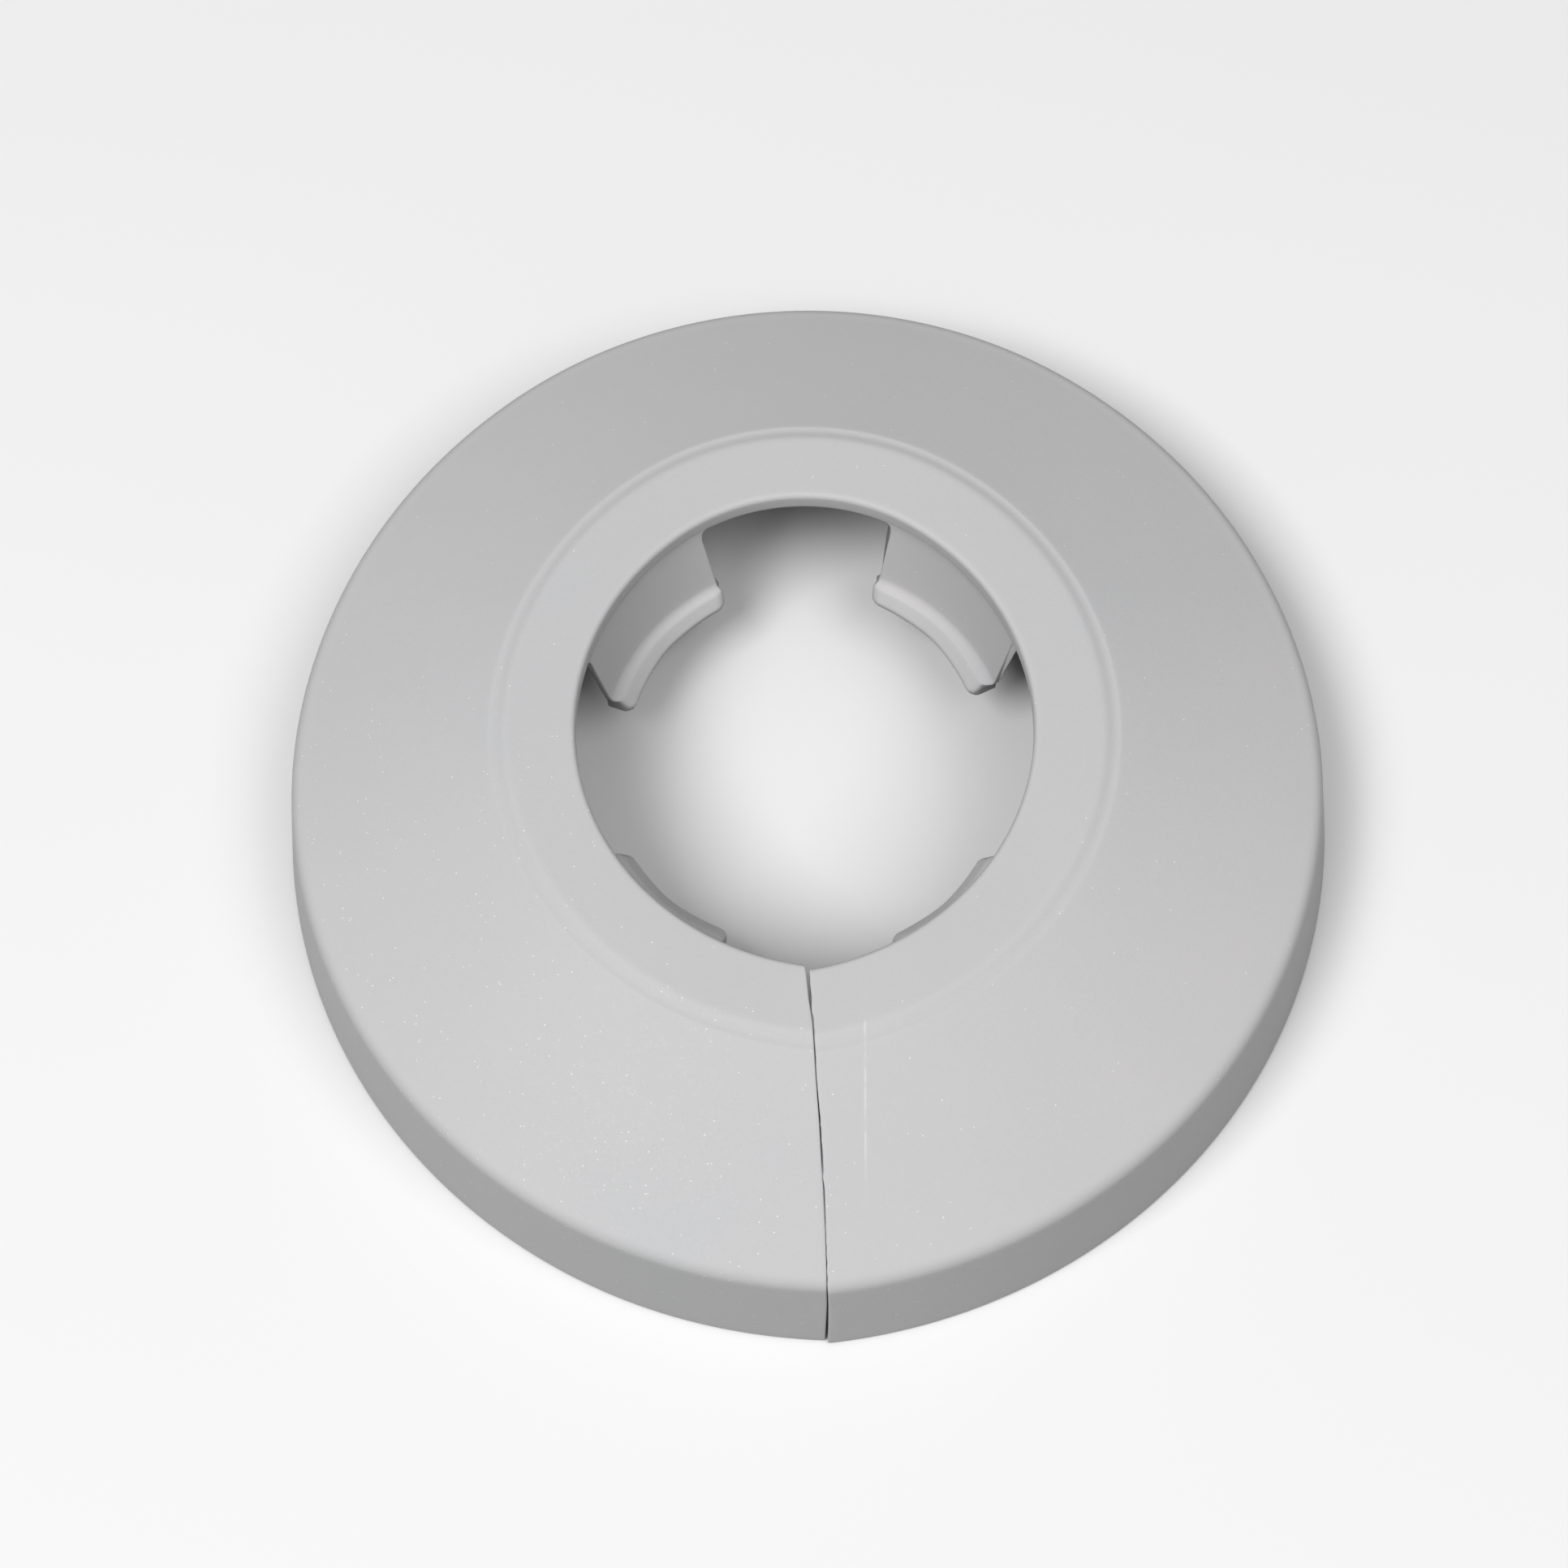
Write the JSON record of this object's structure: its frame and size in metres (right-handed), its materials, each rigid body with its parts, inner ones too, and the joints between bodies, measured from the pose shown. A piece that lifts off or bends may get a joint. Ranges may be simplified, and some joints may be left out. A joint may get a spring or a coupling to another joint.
{
  "type": "pipe rosette",
  "caption": "Split plastic rosette, a hollow cone with a flat collar and inward claws that grip a heating pipe and hide the hole it passes through.",
  "frame": {"origin": "middle of the outline seen from above, at the level of the rim's foot, which is the wall or floor", "axes": "+Z along the pipe, away from the wall; -Y towards the slit; +X across the slit"},
  "size_m": [0.0642, 0.0684, 0.0125],
  "materials": {
    "rosette": "fine matte, slightly translucent white polypropylene"
  },
  "bodies": {
    "root": {"rosette": "rosette"}
  },
  "joints": []
}
